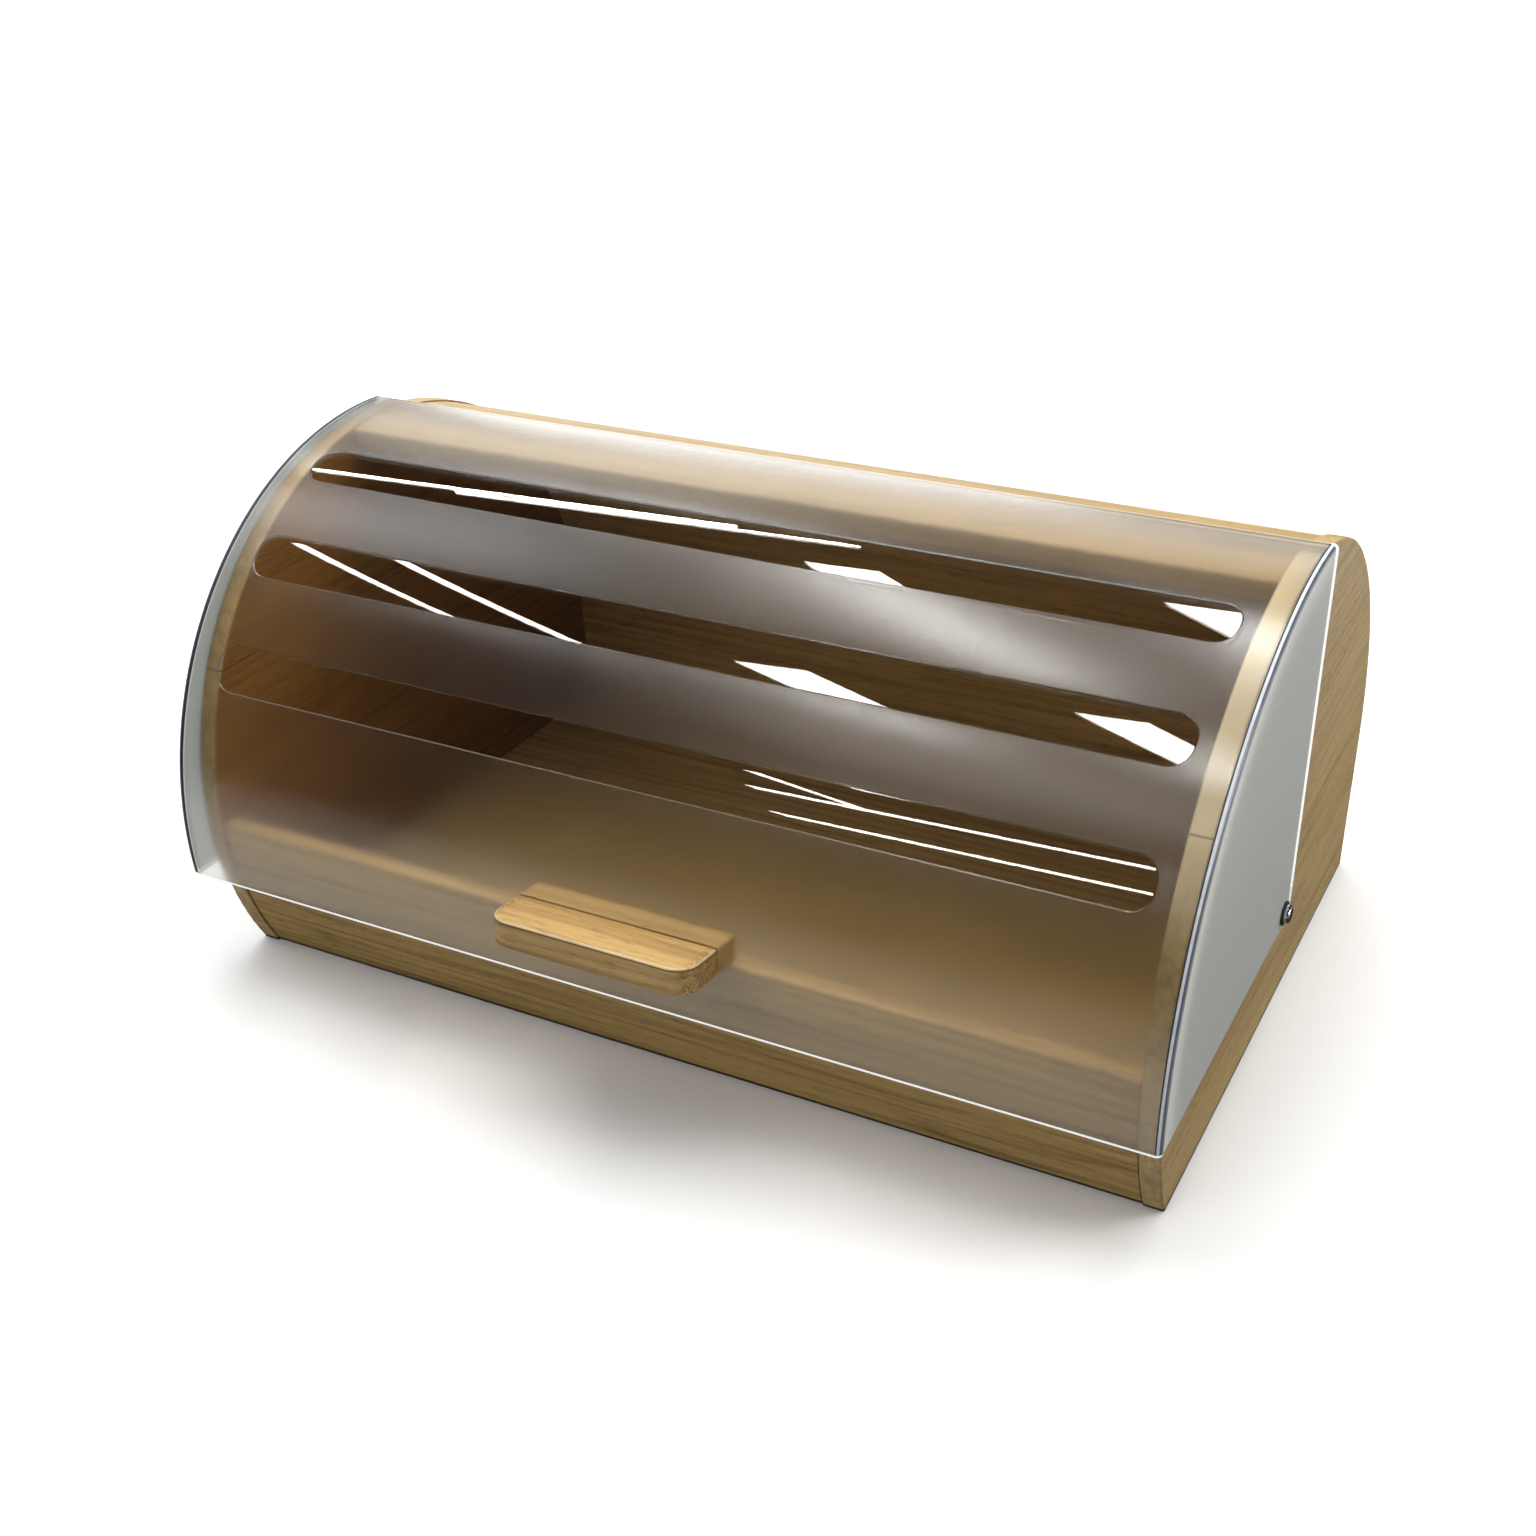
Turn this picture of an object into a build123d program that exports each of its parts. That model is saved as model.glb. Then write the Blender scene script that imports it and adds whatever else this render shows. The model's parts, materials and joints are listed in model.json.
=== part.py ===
from build123d import *
import os
from math import acos, asin, cos, degrees, radians, sin, sqrt

# Bread box with a roll-top lid. Millimetres: X runs along the box, Y towards its back, Z up.
# The origin is on the table, at mid-length, straight below the lid's pivot axis.

# Driving dimensions: the wooden body
box_length = 400.0  # over the two end panels
panel_thickness = 8.0
profile_radius = 132.8  # rounded outline of an end panel
profile_height = 60.8  # the outline's centre above the table
board_thickness = 8.0
board_inset = 0.8  # the curved boards stop this far inside the panels' outline
rail_height = 64.9
roof_front_angle = 99.0  # from the back, over the top, to the roof's front edge
panel_edge_round = 0.7
rail_edge_round = 1.6
roof_edge_round = 1.0

# Driving dimensions: the lid
pivot_height = 53.5
lid_radius = 144.0
lid_wall = 2.4
lid_gap = 1.1  # between a cheek and its end panel
lid_top_angle = 86.8
lid_bottom_angle = 183.4
lid_corner_round = 2.2
cheek_apex_radius = 7.7
window_length = 376.0
window_height = 19.0
window_corner = 8.0
window_depth = 0.35
window_angles = (110.4, 128.95, 147.5)

# Driving dimensions: the handle
handle_angle = 172.4
handle_length = 82.8
handle_thickness = 10.8
handle_reach = 20.0  # out from the lid
handle_corner = 9.0
handle_edge_round = 1.1
block_reach = 11.6  # in from the lid
block_edge_round = 0.8
handle_screw_places = (-24.0, 24.0)
handle_screw_radius = 1.7
handle_screw_head = 3.4
handle_screw_bite = 13.0  # into the outer handle

# Driving dimensions: dowels and pivots
dowel_radius = 2.5
dowel_length = 20.0
dowel_in_panel = 5.0
dowel_end_chamfer = 0.4
insert_radius = 3.0
insert_length = 6.8
insert_hole_depth = 7.0
insert_flange_round = 0.3
bushing_flange_radius = 5.5
bushing_flange = 1.0
bushing_radius = 3.2
bushing_end_play = 0.2
pivot_screw_radius = 1.75
pivot_screw_head = 3.6
pivot_screw_head_height = 2.1
pivot_screw_head_round = 1.2
pivot_screw_depth = 6.0  # into the end panel
washer_radius = 4.8
washer_thickness = 0.8
washer_edge_round = 0.2
cross_length = 4.2
cross_width = 0.9
cross_depth = 1.0

# Clearances
glue_gap = 0.05
running_gap = 0.05
screw_gap = 0.1

# Derived sizes
panel_outer = box_length / 2
panel_inner = panel_outer - panel_thickness
board_outer = profile_radius - board_inset
board_inner = board_outer - board_thickness
board_middle = (board_outer + board_inner) / 2
lid_half = panel_outer + lid_gap + lid_wall
foot_angle = degrees(asin(profile_height / profile_radius))
dowel_centre = panel_inner + dowel_in_panel - dowel_length / 2
bushing_length = lid_gap + lid_wall + bushing_end_play
cheek_hole_radius = bushing_radius + running_gap
handle_back = lid_radius - lid_wall - block_reach
handle_front = lid_radius + handle_reach


def on_board_arc(angle):
    """Place on the middle of the curved boards, as (y, z)."""
    turn = radians(angle)
    return board_middle * cos(turn), profile_height + board_middle * sin(turn)


dowel_places = {
    "base_dowels": [(y, board_thickness / 2) for y in (-80.0, 0.0, 80.0)],
    "front_rail_dowels": [on_board_arc(angle) for angle in (186.0, 200.0)],
    "roof_dowels": [on_board_arc(angle) for angle in (12.0, 48.0, 84.0)],
    "back_dowels": [(board_middle, z) for z in (18.0, 44.0)],
}


def pivot_plane(x):
    """Plane across the pivot axis, drawn in (y, z) from the axis."""
    return Plane(origin=(x, 0, pivot_height), x_dir=(0, 1, 0), z_dir=(1, 0, 0))


def radial_plane(x, angle, radius):
    """Plane facing straight out from the pivot axis, at this radius."""
    turn = radians(angle)
    outward = (0, cos(turn), sin(turn))
    place = (x, radius * cos(turn), pivot_height + radius * sin(turn))
    return Plane(origin=place, x_dir=(1, 0, 0), z_dir=outward)


def handle_plane():
    """Plane through the pivot axis and the middle of the handle, drawn in (x, radius)."""
    turn = radians(handle_angle)
    across = (0, -sin(turn), cos(turn))
    return Plane(origin=(0, 0, pivot_height), x_dir=(1, 0, 0), z_dir=across)


def cut_dowel_holes(group_names):
    """Cut these dowels' holes, at both ends, from the part being built."""
    for group in group_names:
        for y, z in dowel_places[group]:
            for side in (-1, 1):
                with Locations((side * dowel_centre, y, z)):
                    Cylinder(
                        dowel_radius + glue_gap,
                        dowel_length + 1.0,
                        rotation=(0, 90, 0),
                        mode=Mode.SUBTRACT,
                    )


def circles(builder, radius):
    """The round edges of this radius on a part being built."""
    round_edges = builder.edges().filter_by(GeomType.CIRCLE)
    return round_edges.filter_by(lambda edge: abs(edge.radius - radius) < 0.01)


def finish(part, name):
    """Label a finished piece and write its file."""
    part.label = name
    export_step(part, f"parts/{name}.step")


os.makedirs("parts", exist_ok=True)

# End panels: rounded over the front and top, square at the back
for side, name in ((-1, "left_end_panel"), (1, "right_end_panel")):
    low_x = min(side * panel_outer, side * panel_inner)
    with BuildPart() as end_panel:
        with BuildSketch(Plane.YZ.offset(low_x)):
            with BuildLine():
                rim = CenterArc((0, profile_height), profile_radius, 0, 180 + foot_angle)
                back_foot = (profile_radius, 0)
                Line(rim @ 0, back_foot)
                Line(back_foot, rim @ 1)
            make_face()
        extrude(amount=panel_thickness)
        fillet(end_panel.edges().filter_by(Axis.X, reverse=True), panel_edge_round)
        cut_dowel_holes(dowel_places)
        with Locations((side * (panel_outer - insert_hole_depth / 2), 0, pivot_height)):
            Cylinder(
                insert_radius + glue_gap,
                insert_hole_depth,
                rotation=(0, 90, 0),
                mode=Mode.SUBTRACT,
            )
    finish(end_panel.part, name)

# Base board: its front edge is cut to the inside of the curved front rail
with BuildPart() as base_board:
    with BuildSketch(Plane.YZ.offset(-panel_inner)):
        with BuildLine():
            foot = -sqrt(board_inner**2 - profile_height**2)
            lip = -sqrt(board_inner**2 - (profile_height - board_thickness) ** 2)
            RadiusArc((foot, 0), (lip, board_thickness), board_inner)
            Polyline(
                (lip, board_thickness), (board_inner, board_thickness), (board_inner, 0), (foot, 0)
            )
        make_face()
    extrude(amount=2 * panel_inner)
    cut_dowel_holes(["base_dowels"])
finish(base_board.part, "base_board")

# Front rail: a low curved board that closes the front below the mouth
with BuildPart() as front_rail:
    with BuildSketch(Plane.YZ.offset(-panel_inner)):
        with Locations((0, profile_height)):
            Circle(board_outer)
            Circle(board_inner, mode=Mode.SUBTRACT)
        with Locations((-board_outer, rail_height / 2)):
            Rectangle(board_outer, rail_height, mode=Mode.INTERSECT)
    extrude(amount=2 * panel_inner)
    top_edges = front_rail.edges().filter_by(Axis.X).group_by(Axis.Z)[-1]
    fillet(top_edges, rail_edge_round)
    cut_dowel_holes(["front_rail_dowels"])
finish(front_rail.part, "front_rail")

# Roof panel: a curved board from the mouth's upper edge, over the top, to the back
with BuildPart() as roof_panel:
    with BuildSketch(Plane.YZ.offset(-panel_inner)):
        with BuildLine():
            outside = CenterArc((0, profile_height), board_outer, 0, roof_front_angle)
            inside = CenterArc((0, profile_height), board_inner, 0, roof_front_angle)
            Line(outside @ 0, inside @ 0)
            Line(outside @ 1, inside @ 1)
        make_face()
    extrude(amount=2 * panel_inner)
    front_edges = roof_panel.edges().filter_by(Axis.X).sort_by(Axis.Y)[:2]
    fillet(front_edges, roof_edge_round)
    cut_dowel_holes(["roof_dowels"])
finish(roof_panel.part, "roof_panel")

# Back board: flat, from the table up to the roof's lower edge
with BuildPart() as back_board:
    with BuildSketch(Plane.YZ.offset(-panel_inner)):
        with Locations((board_middle, profile_height / 2)):
            Rectangle(board_thickness, profile_height)
    extrude(amount=2 * panel_inner)
    cut_dowel_holes(["back_dowels"])
finish(back_board.part, "back_board")

# Wooden dowels that pin each board to both end panels
for name, places in dowel_places.items():
    with BuildPart() as dowels:
        for y, z in places:
            for side in (-1, 1):
                with Locations((side * dowel_centre, y, z)):
                    Cylinder(dowel_radius, dowel_length, rotation=(0, 90, 0))
        chamfer(dowels.edges().filter_by(GeomType.CIRCLE), dowel_end_chamfer)
    finish(dowels.part, name)

# Pivots: a threaded insert in the panel, a flanged bushing that the cheek turns on,
# a washer that keeps the cheek on it, and the screw that holds them
for side, name in ((-1, "left"), (1, "right")):
    outward = Plane(
        origin=(side * panel_outer, 0, pivot_height), x_dir=(0, 1, 0), z_dir=(side, 0, 0)
    )

    with BuildPart() as insert:
        with BuildSketch(outward.offset(-insert_length)):
            Circle(insert_radius)
            Circle(pivot_screw_radius + running_gap, mode=Mode.SUBTRACT)
        extrude(amount=insert_length)
    finish(insert.part, f"{name}_pivot_insert")

    with BuildPart() as bushing:
        with BuildSketch(outward):
            Circle(bushing_flange_radius)
        extrude(amount=bushing_flange)
        with BuildSketch(outward):
            Circle(bushing_radius)
        extrude(amount=bushing_length)
        with BuildSketch(outward):
            Circle(pivot_screw_radius + screw_gap)
        extrude(amount=bushing_length, mode=Mode.SUBTRACT)
    finish(bushing.part, f"{name}_pivot_bushing")

    with BuildPart() as washer:
        with BuildSketch(outward.offset(bushing_length)):
            Circle(washer_radius)
            Circle(pivot_screw_radius + screw_gap, mode=Mode.SUBTRACT)
        extrude(amount=washer_thickness)
        fillet(circles(washer, washer_radius), washer_edge_round)
    finish(washer.part, f"{name}_pivot_washer")

    with BuildPart() as screw:
        under_head = bushing_length + washer_thickness
        with BuildSketch(outward.offset(under_head)):
            Circle(pivot_screw_head)
        extrude(amount=pivot_screw_head_height)
        crown = screw.faces().sort_by(Axis.X)[-1 if side > 0 else 0]
        fillet(crown.edges(), pivot_screw_head_round)
        with BuildSketch(outward.offset(under_head + pivot_screw_head_height)):
            Rectangle(cross_length, cross_width)
            Rectangle(cross_width, cross_length)
        extrude(amount=-cross_depth, mode=Mode.SUBTRACT)
        with BuildSketch(outward.offset(-pivot_screw_depth)):
            Circle(pivot_screw_radius)
        extrude(amount=pivot_screw_depth + under_head)
    finish(screw.part, f"{name}_pivot_screw")

# Window cutters: rounded bars that reach just under the lid's outer surface
with BuildPart() as window_cutters:
    for angle in window_angles:
        with BuildSketch(radial_plane(0, angle, lid_radius)):
            RectangleRounded(window_length, window_height, window_corner)
        extrude(amount=lid_wall, both=True)
    with Locations((0, 0, pivot_height)):
        Cylinder(
            lid_radius - window_depth, 2 * lid_half, rotation=(0, 90, 0), mode=Mode.SUBTRACT
        )

# Lid shell: one curved sheet with a flat cheek at each end
with BuildPart() as lid_shell:
    with BuildSketch(pivot_plane(-lid_half)):
        with BuildLine():
            tangent = degrees(acos(cheek_apex_radius / lid_radius))
            sheet = CenterArc((0, 0), lid_radius, lid_top_angle, lid_bottom_angle - lid_top_angle)
            apex_start = lid_bottom_angle + tangent
            apex_sweep = 360 + lid_top_angle - tangent - apex_start
            apex = CenterArc((0, 0), cheek_apex_radius, apex_start, apex_sweep)
            Line(sheet @ 0, apex @ 1)
            Line(sheet @ 1, apex @ 0)
        make_face()
    extrude(amount=2 * lid_half)
    fillet(circles(lid_shell, lid_radius), lid_corner_round)
    with Locations((0, 0, pivot_height)):
        Cylinder(
            lid_radius - lid_wall,
            2 * (panel_outer + lid_gap),
            rotation=(0, 90, 0),
            mode=Mode.SUBTRACT,
        )
        Cylinder(cheek_hole_radius, 2 * lid_half, rotation=(0, 90, 0), mode=Mode.SUBTRACT)
    add(window_cutters.part, mode=Mode.SUBTRACT)
    for x in handle_screw_places:
        with Locations(radial_plane(x, handle_angle, lid_radius)):
            Cylinder(handle_screw_radius + 0.5, 4 * lid_wall, mode=Mode.SUBTRACT)
finish(lid_shell.part, "lid_shell")

# Outer handle: a bar with rounded front corners, hollowed to sit on the lid
with BuildPart() as outer_handle:
    with BuildSketch(handle_plane()) as handle_outline:
        with Locations((0, lid_radius - lid_wall)):
            Rectangle(handle_length, handle_reach + lid_wall, align=(Align.CENTER, Align.MIN))
        fillet(handle_outline.vertices().group_by(Axis.Y)[-1], handle_corner)
    extrude(amount=handle_thickness / 2, both=True)
    broad_faces = outer_handle.faces().filter_by(handle_plane())
    fillet(broad_faces.edges(), handle_edge_round)
    with Locations((0, 0, pivot_height)):
        Cylinder(lid_radius, 2 * handle_length, rotation=(0, 90, 0), mode=Mode.SUBTRACT)
    for x in handle_screw_places:
        with Locations(radial_plane(x, handle_angle, lid_radius)):
            Cylinder(
                handle_screw_radius + glue_gap,
                2 * (handle_screw_bite + screw_gap),
                mode=Mode.SUBTRACT,
            )
finish(outer_handle.part, "outer_handle")

# Inner handle block: clamps the lid from inside, and stops it at both ends of its travel
with BuildPart() as inner_handle_block:
    with BuildSketch(handle_plane()):
        with Locations((0, handle_back)):
            Rectangle(handle_length, block_reach + lid_wall, align=(Align.CENTER, Align.MIN))
    extrude(amount=handle_thickness / 2, both=True)
    fillet(inner_handle_block.edges(), block_edge_round)
    with Locations((0, 0, pivot_height)):
        Cylinder(
            lid_radius - lid_wall, 2 * handle_length, rotation=(0, 90, 0), mode=Mode.INTERSECT
        )
    for x in handle_screw_places:
        with Locations(radial_plane(x, handle_angle, handle_back)):
            Cylinder(handle_screw_radius + screw_gap, 4 * block_reach, mode=Mode.SUBTRACT)
            Cone(
                handle_screw_head + screw_gap,
                handle_screw_radius + screw_gap,
                handle_screw_head - handle_screw_radius,
                align=(Align.CENTER, Align.CENTER, Align.MIN),
                mode=Mode.SUBTRACT,
            )
finish(inner_handle_block.part, "inner_handle_block")

# Handle screws: countersunk in the inner block, through the lid, into the outer handle
with BuildPart() as handle_screws:
    for x in handle_screw_places:
        with Locations(radial_plane(x, handle_angle, handle_back)):
            Cone(
                handle_screw_head,
                handle_screw_radius,
                handle_screw_head - handle_screw_radius,
                align=(Align.CENTER, Align.CENTER, Align.MIN),
            )
            Cylinder(
                handle_screw_radius,
                block_reach + lid_wall + handle_screw_bite,
                align=(Align.CENTER, Align.CENTER, Align.MIN),
            )
        with BuildSketch(radial_plane(x, handle_angle, handle_back)):
            Rectangle(cross_length, cross_width)
            Rectangle(cross_width, cross_length)
        extrude(amount=cross_depth, mode=Mode.SUBTRACT)
finish(handle_screws.part, "handle_screws")
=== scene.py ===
import json
from math import asin, atan2, ceil, cos, hypot, pi, radians, sin

import bpy
from mathutils import Matrix, Vector


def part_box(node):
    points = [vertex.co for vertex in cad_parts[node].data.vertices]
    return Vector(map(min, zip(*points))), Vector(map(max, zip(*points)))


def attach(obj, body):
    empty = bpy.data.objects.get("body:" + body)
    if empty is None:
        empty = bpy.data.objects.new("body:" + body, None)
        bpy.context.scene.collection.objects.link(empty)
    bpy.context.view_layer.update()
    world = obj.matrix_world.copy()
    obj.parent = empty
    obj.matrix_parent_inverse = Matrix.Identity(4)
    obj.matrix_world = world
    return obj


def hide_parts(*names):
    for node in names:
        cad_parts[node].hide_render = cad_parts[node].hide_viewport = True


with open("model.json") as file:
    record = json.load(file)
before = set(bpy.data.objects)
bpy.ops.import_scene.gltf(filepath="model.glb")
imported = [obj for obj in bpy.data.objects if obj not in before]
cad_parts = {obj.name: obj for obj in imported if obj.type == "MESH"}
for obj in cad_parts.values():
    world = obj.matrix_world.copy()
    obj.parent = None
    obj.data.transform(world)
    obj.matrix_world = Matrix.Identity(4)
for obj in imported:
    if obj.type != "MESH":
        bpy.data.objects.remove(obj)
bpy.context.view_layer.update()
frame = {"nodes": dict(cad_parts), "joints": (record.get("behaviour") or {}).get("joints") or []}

MM = 0.001
joint = frame["joints"][0]
PIVOT = Vector(joint["pos_m"])
nodes = frame["nodes"]


def shaded(colour, factor):
    return tuple(v * factor for v in colour)


# ---------------------------------------------------------------- shader graphs
class Graph:
    """A material's node tree, with short calls for the nodes used here."""

    def __init__(self, name):
        self.material = bpy.data.materials.new(name)
        self.material.use_nodes = True
        self.tree = self.material.node_tree
        self.tree.nodes.clear()
        self.out = self.tree.nodes.new("ShaderNodeOutputMaterial")
        self.coords = self.tree.nodes.new("ShaderNodeTexCoord").outputs["Object"]

    def put(self, socket, value):
        if isinstance(value, bpy.types.NodeSocket):
            self.tree.links.new(value, socket)
        elif value is not None:
            if isinstance(value, tuple) and len(value) == 3 and socket.type == "RGBA":
                value = (*value, 1)
            socket.default_value = value

    def node(self, kind, settings=None, **values):
        made = self.tree.nodes.new(kind)
        for key, value in (settings or {}).items():
            setattr(made, key, value)
        for key, value in values.items():
            self.put(made.inputs[key.replace("_", " ")], value)
        return made

    def maths(self, operation, a, b=None, c=None):
        made = self.node("ShaderNodeMath", {"operation": operation})
        for socket, value in zip(made.inputs, (a, b, c)):
            self.put(socket, value)
        return made.outputs[0]

    def times(self, first, *others):
        for other in others:
            first = self.maths("MULTIPLY", first, other)
        return first

    def stretch(self, scale, move=(0, 0, 0)):
        made = self.node("ShaderNodeMapping", Scale=scale, Location=move)
        self.put(made.inputs["Vector"], self.coords)
        return made.outputs[0]

    def noise(self, where, scale=1.0, detail=2.0, rough=0.5):
        made = self.node("ShaderNodeTexNoise", Scale=scale, Detail=detail, Roughness=rough)
        self.put(made.inputs["Vector"], where)
        return made.outputs["Fac"]

    def ramp(self, fac, *stops):
        made = self.tree.nodes.new("ShaderNodeValToRGB")
        elements = made.color_ramp.elements
        while len(elements) < len(stops):
            elements.new(0.5)
        for element, (place, value) in zip(elements, stops):
            element.position = place
            element.color = (*value, 1) if isinstance(value, tuple) else (value, value, value, 1)
        self.put(made.inputs[0], fac)
        return made.outputs[0]

    def span(self, value, low, high, to_low=0.0, to_high=1.0):
        made = self.node("ShaderNodeMapRange", {"interpolation_type": "SMOOTHSTEP"})
        sockets = ("Value", "From Min", "From Max", "To Min", "To Max")
        for key, v in zip(sockets, (value, low, high, to_low, to_high)):
            self.put(made.inputs[key], v)
        return made.outputs[0]

    def mix(self, fac, a, b, blend="MIX"):
        made = self.node("ShaderNodeMix", {"data_type": "RGBA", "blend_type": blend})
        for index, value in ((0, fac), (6, a), (7, b)):
            self.put(made.inputs[index], value)
        return made.outputs[2]

    def bump(self, height, strength, distance):
        made = self.node("ShaderNodeBump", Strength=strength, Distance=distance, Height=height)
        return made.outputs[0]

    def xyz(self):
        made = self.node("ShaderNodeSeparateXYZ")
        self.put(made.inputs[0], self.coords)
        return made.outputs

    def surface(self, shader):
        self.put(self.out.inputs["Surface"], shader)
        return self.material


# Where the parts of an end panel lie: the start of its curved edge, measured from the pivot axis,
# the corner of that edge and the inner face, measured from the box's middle
PANEL_EDGE = (0.1314, 0.1317)
PANEL_CORNER = (0.1992, 0.1995)
PANEL_INSIDE = (0.1921, 0.1924)
# The handle's upper edge, measured across its thickness from its middle: a painted highlight line along the
# rounded arris and a painted shade line just under it
HIGHLIGHT_LINE = ((0.00465, 0.0048), (0.00530, 0.00538))
SHADE_LINE = ((0.0040, 0.0042), (0.0046, 0.00475))
END_GRAIN_DEPTH = 0.003


def panel_edge(g, colour, dark, dots, edge_highlight):
    """An end panel's curved front edge: end grain dots, stronger lower down, a painted shade line along its
    corner with the outer face, and a painted highlight on its upper part if a highlight colour is given.
    """
    x, y, z = g.xyz()
    fall = g.maths("SUBTRACT", z, PIVOT.z)
    reach = g.maths("SQRT", g.maths("ADD", g.times(y, y), g.times(fall, fall)))
    rim = g.span(reach, *PANEL_EDGE)
    front = g.times(rim, g.span(y, 0.0, 0.004, 1.0, 0.0))
    low = g.times(front, g.span(z, 0.045, 0.075, 1.0, 0.35))
    colour = g.mix(g.times(dots, low), colour, shaded(dark, 0.6))
    # painted shade: the outer face is darkened in a thin strip along the front edge's corner
    outside = g.span(g.maths("ABSOLUTE", x), *PANEL_CORNER)
    corner = g.times(outside, rim, g.span(y, 0.0, 0.01, 1.0, 0.0), 0.8)
    colour = g.mix(corner, colour, shaded(dark, 0.3))
    # painted highlight: the front edge's upper part is paled towards a cream colour
    if edge_highlight:
        colour = g.mix(g.times(front, g.span(z, 0.10, 0.15, 0.0, 0.8)), colour, edge_highlight)
    return colour


def handle_edge(g, colour, dark, angle):
    """The handle's upper edge, with a painted highlight along it and a painted shade line under it. angle
    is the handle's on the lid.
    """
    _, y, z = g.xyz()
    tilt = radians(angle)
    rise = g.maths("SUBTRACT", z, PIVOT.z)
    height = g.maths("ADD", g.times(y, sin(tilt)), g.times(rise, -cos(tilt)))
    # a painted highlight line, then a painted shade line
    for (start, end), strength, tint in (
        (HIGHLIGHT_LINE, 0.25, (0.93, 0.80, 0.55)),
        (SHADE_LINE, 0.7, shaded(dark, 0.35)),
    ):
        line = g.times(g.span(height, *start), g.span(height, *end, 1.0, 0.0), strength)
        colour = g.mix(line, colour, tint)
    return colour


def wood(
    name,
    grain,
    tones,
    pith,
    rings=230.0,
    figure=0.55,
    seams=(),
    seed=0.0,
    streaks=0.5,
    inside=None,
    front_edge=False,
    edge_highlight=None,
    ends=None,
    handle_angle=None,
):
    """Oak with growth rings round a far pith, long fibres, open pores and a satin lacquer.

    grain is the axis it runs along, tones are its light, middle and dark colours. The rest are
    marks of one board: seams (axis, place, width), the painted shade tint of its inside face, a
    curved front edge with a painted shade line at its corner and an optional painted highlight,
    the half length at which end grain shows, and the handle's upper edge with a painted highlight
    line and a painted shade line.
    """
    g = Graph(name)
    light, middle, dark = tones
    along = "XYZ".index(grain)
    a, b = [k for k in range(3) if k != along]

    def scales(lengthways, crossways):
        return tuple(lengthways if k == along else crossways for k in range(3))

    sway = g.noise(g.stretch(scales(3.2, 13.0), (seed, seed * 0.7, seed * 1.3)), 1.0, 2.0, 0.45)
    small_sway = g.noise(g.stretch(scales(11.0, 55.0), (seed, 3.1, 1.7)), 1.0, 2.0, 0.5)
    axes = g.xyz()
    da = g.maths("SUBTRACT", axes[a], pith[0])
    db = g.maths("SUBTRACT", axes[b], pith[1])
    reach = g.maths("SQRT", g.maths("ADD", g.times(da, da), g.times(db, db)))
    phase = g.maths("MULTIPLY_ADD", reach, rings, g.times(sway, 5.5))
    phase = g.maths("MULTIPLY_ADD", small_sway, 0.9, phase)
    ring_shape = ((0.0, 0.95), (0.12, 0.55), (0.55, 0.18), (0.86, 0.42), (1.0, 0.95))
    ring = g.ramp(g.maths("FRACT", phase), *ring_shape)
    uneven = g.noise(g.stretch(scales(7.0, 90.0), (1.3, seed, 2.2)), 1.0, 3.0, 0.6)
    streak = g.noise(g.stretch(scales(6.0, 330.0), (seed, 0.4, 5.0)), 1.0, 4.0, 0.6)
    fibre = g.noise(g.stretch(scales(60.0, 2300.0), (0.2, seed, 0.9)), 1.0, 2.0, 0.6)
    pores = g.noise(g.stretch(scales(130.0, 1500.0), (4.0, 0.6, seed)), 1.0, 1.0, 0.5)
    pore = g.span(pores, 0.60, 0.70)

    strength = g.span(uneven, 0.32, 0.68, 0.25, 1.0)
    colour = g.mix(g.ramp(sway, (0.3, 0.0), (0.7, 1.0)), light, middle)
    colour = g.mix(g.times(ring, strength, figure), colour, dark)
    colour = g.mix(g.span(streak, 0.42, 0.75, 0.0, streaks), colour, dark)
    colour = g.mix(g.span(streak, 0.25, 0.45, 0.28, 0.0), colour, light)
    shade = g.ramp(fibre, (0.25, 0.86), (0.75, 1.08))
    colour = g.mix(1.0, colour, shade, "MULTIPLY")
    colour = g.mix(g.times(pore, 0.38), colour, shaded(dark, 0.45))
    across = g.maths("ABSOLUTE", axes[0])
    # painted shade: an end panel's inner face is made darker and redder for the shade inside the box
    if inside:  # an end panel's inner face is darker and redder than its outer face and edges
        inner_shaded = g.mix(1.0, colour, inside, "MULTIPLY")
        colour = g.mix(g.span(across, *PANEL_INSIDE, 1.0, 0.0), colour, inner_shaded)
    dots = g.noise(g.stretch((1100.0,) * 3, (seed, 2.0, 1.0)), 1.0, 2.0, 0.7)
    dots = g.span(dots, 0.50, 0.60, 0.0, 0.85)
    if front_edge:
        colour = panel_edge(g, colour, dark, dots, edge_highlight)
    for axis, place, width in seams:
        off = g.maths("ABSOLUTE", g.maths("SUBTRACT", axes["XYZ".index(axis)], place))
        line = g.span(off, width * 0.4, width, 0.75, 0.0)
        colour = g.mix(line, colour, shaded(dark, 0.35))
    if ends:  # end grain at both ends of a short piece
        ended = g.times(dots, g.span(across, ends - END_GRAIN_DEPTH, ends))
        colour = g.mix(ended, colour, shaded(dark, 0.7))
    if handle_angle:
        colour = handle_edge(g, colour, dark, handle_angle)
    # painted contact shadow: a dark band just above the table
    colour = g.mix(g.span(axes[2], 0.0012, 0.0024, 0.92, 0.0), colour, shaded(dark, 0.15))

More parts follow.
